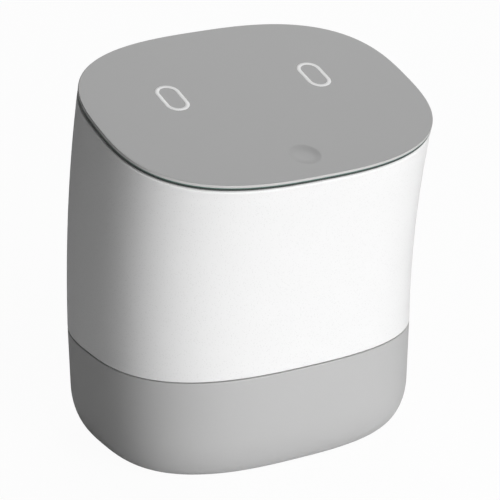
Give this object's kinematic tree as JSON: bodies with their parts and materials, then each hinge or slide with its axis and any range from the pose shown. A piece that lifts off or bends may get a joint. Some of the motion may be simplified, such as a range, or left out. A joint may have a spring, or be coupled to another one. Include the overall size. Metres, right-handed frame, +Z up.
{
  "type": "smart speaker",
  "caption": "Table smart speaker with a leaning rounded-square body, a rounded base, and a sloping glass touch panel with outlined marks and a finger dimple.",
  "frame": {"origin": "middle of the foot pad's resting face", "axes": "+Z up; -Y is the front, the side the touch panel slopes down to; +X is the object's right as seen from the front"},
  "size_m": [0.1314, 0.1136, 0.1504],
  "materials": {
    "panel_glass": "back-printed grey, acid-etched satin face",
    "mark_ink": "fused white line",
    "sensor_film": "black printed film",
    "tray_black": "moulded, satin",
    "milky_plastic": "light-diffusing, milky",
    "circuit_board": "green solder mask",
    "chip_black": "moulded epoxy",
    "light_yellow": "phosphor over a white package",
    "mic_can": "gold flash",
    "soft_rubber": "matt silicone",
    "screw_steel": "zinc plated",
    "body_white": "fine spark-eroded grain, micro-perforated",
    "base_grey": "fine spark-eroded grain",
    "cabinet_black": "moulded, matt",
    "foam_grey": "closed-cell foam",
    "felt_grey": "needled felt",
    "basket_steel": "black powder coat",
    "plated_steel": "zinc plated",
    "ferrite": "ground ferrite",
    "coil_copper": "enamelled copper winding",
    "cone_paper": "pressed pulp cone",
    "cap_plastic": "satin dome",
    "surround_rubber": "butyl rubber",
    "spider_cloth": "resin-dipped cotton",
    "bare_aluminium": "extruded, clear anodised",
    "shield_tin": "tin-plated sheet",
    "lead_jacket": "PVC jacket",
    "ribbon_film": "white laminated film",
    "connector_cream": "moulded nylon",
    "deck_plastic": "glass-filled, matt",
    "foot_rubber": "fine-grained pad",
    "ballast_steel": "phosphated steel",
    "socket_steel": "nickel plated"
  },
  "bodies": {
    "root": {"top_glass": "panel_glass", "ring_mark_left": "mark_ink", "ring_mark_right": "mark_ink", "touch_film": "sensor_film", "panel_carrier": "tray_black", "light_guide_left": "milky_plastic", "light_guide_right": "milky_plastic", "touch_board": "circuit_board", "touch_board_screws": "screw_steel", "touch_lights": "light_yellow", "touch_chips": "chip_black", "mic_capsules": "mic_can", "mic_boots": "soft_rubber", "body_shell": "body_white", "carrier_screws": "screw_steel", "deck": "deck_plastic", "body_screws": "screw_steel", "base_shell": "base_grey", "base_cover": "base_grey", "base_screws": "screw_steel", "foot_pad": "foot_rubber", "ballast_plate": "ballast_steel", "main_board": "circuit_board", "board_screws": "screw_steel", "shield_can": "shield_tin", "heat_spreader": "bare_aluminium", "board_chips": "chip_black", "usb_socket": "socket_steel", "usb_tongue": "chip_black", "cabinet_tub": "cabinet_black", "cabinet_gasket": "foam_grey", "cabinet_lid": "cabinet_black", "cabinet_screws": "screw_steel", "cabinet_grommets": "soft_rubber", "cabinet_mount_screws": "screw_steel", "wadding": "felt_grey", "driver_gasket": "foam_grey", "driver_basket": "basket_steel", "driver_screws": "screw_steel", "driver_top_plate": "plated_steel", "driver_magnet": "ferrite", "driver_yoke": "plated_steel", "cone_surround": "surround_rubber", "spider": "spider_cloth", "driver_terminals": "connector_cream", "radiator_frame": "cabinet_black", "radiator_surround": "surround_rubber", "diffuser": "cabinet_black", "speaker_lead": "lead_jacket", "lead_gland": "soft_rubber", "flex_cable": "ribbon_film", "flex_connectors": "connector_cream", "flex_clips": "cabinet_black", "antennas": "circuit_board"},
    "driver_cone": {"voice_coil": "coil_copper", "cone": "cone_paper", "dust_cap": "cap_plastic"},
    "radiator": {"radiator_piston": "bare_aluminium", "radiator_weight": "plated_steel"}
  },
  "joints": [
    {"name": "cone_travel", "type": "slide", "parent": "root", "child": "driver_cone", "axis": [0, 0, 1], "range_m": [-0.0025, 0.0025], "stiffness_N_per_m": 1500, "deforming": ["cone_surround", "spider"]},
    {"name": "radiator_travel", "type": "slide", "parent": "root", "child": "radiator", "axis": [0, 1, 0], "range_m": [-0.003, 0.003], "stiffness_N_per_m": 900, "deforming": ["radiator_surround"]}
  ]
}
